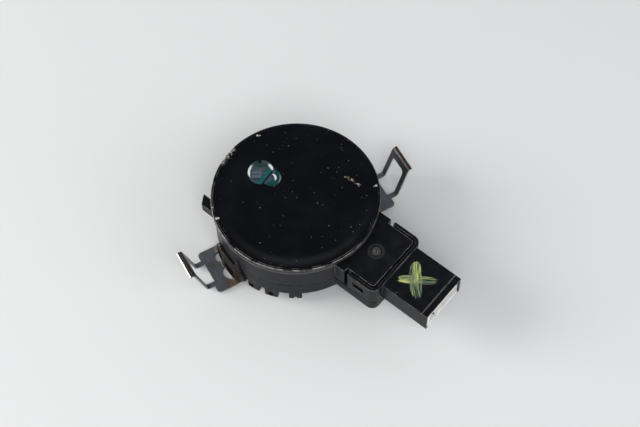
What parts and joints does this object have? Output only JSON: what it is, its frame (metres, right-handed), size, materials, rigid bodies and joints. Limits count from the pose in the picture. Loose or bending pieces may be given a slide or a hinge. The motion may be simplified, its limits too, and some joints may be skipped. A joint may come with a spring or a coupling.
{
  "type": "windscreen rain and light sensor",
  "caption": "Round optical sensor with a glossy black lens disc and clear coupling pad, flat arm with plug socket, and a spring-steel clip with hooked ears.",
  "frame": {"origin": "on the lens disc's axis, in the plane of the rear boss that the part rests on", "axes": "+Z towards the glass side, +X along the arm towards the plug socket's mouth, +Y to the left of the arm"},
  "size_m": [0.0704, 0.0666, 0.0202],
  "materials": {
    "pad_silicone": "clear silicone gel over black, glossy",
    "lens_black": "glossy infrared-pass black",
    "window_clear": "clear moulded lens",
    "housing_black": "fine satin moulded black",
    "socket_black": "fine satin moulded black, worn edges",
    "liner_white": "off-white moulded",
    "contact_metal": "tinned brass",
    "spring_steel": "blued spring steel with brown tint",
    "rivet_steel": "plain zinc-plated steel",
    "board_green": "green solder mask",
    "chip_black": "moulded epoxy",
    "can_aluminium": "drawn can",
    "chip_ceramic": "ceramic chip"
  },
  "bodies": {
    "housing": {"coupling_pad": "pad_silicone", "lens_disc": "lens_black", "light_window": "window_clear", "front_body": "housing_black", "plug_socket": "socket_black", "socket_liner": "liner_white", "contact_pins": "contact_metal", "rear_cover": "housing_black", "clip_band": "spring_steel", "clip_rivets": "rivet_steel", "circuit_board": "board_green", "board_screws": "rivet_steel", "optics_frame": "housing_black", "light_guides": "window_clear", "light_pipe": "window_clear", "ir_emitters": "chip_black", "photodiodes": "chip_black", "light_sensor": "chip_black", "microcontroller": "chip_black", "bus_transceiver": "chip_black", "buffer_capacitor": "can_aluminium", "chip_parts": "chip_ceramic"},
    "ear_left": {"clip_ear_left": "spring_steel"},
    "ear_right": {"clip_ear_right": "spring_steel"}
  },
  "joints": [
    {"name": "ear_left_flex", "type": "hinge", "parent": "housing", "child": "ear_left", "pos_m": [-0.00836, -0.02121, 0.00075], "axis": [-0.9304, 0.3665, 0], "range_deg": [-2, 10], "stiffness_Nm_per_rad": 0.02},
    {"name": "ear_right_flex", "type": "hinge", "parent": "housing", "child": "ear_right", "pos_m": [0.00836, 0.02121, 0.00075], "axis": [0.9304, -0.3665, 0], "range_deg": [-2, 10], "stiffness_Nm_per_rad": 0.02}
  ]
}
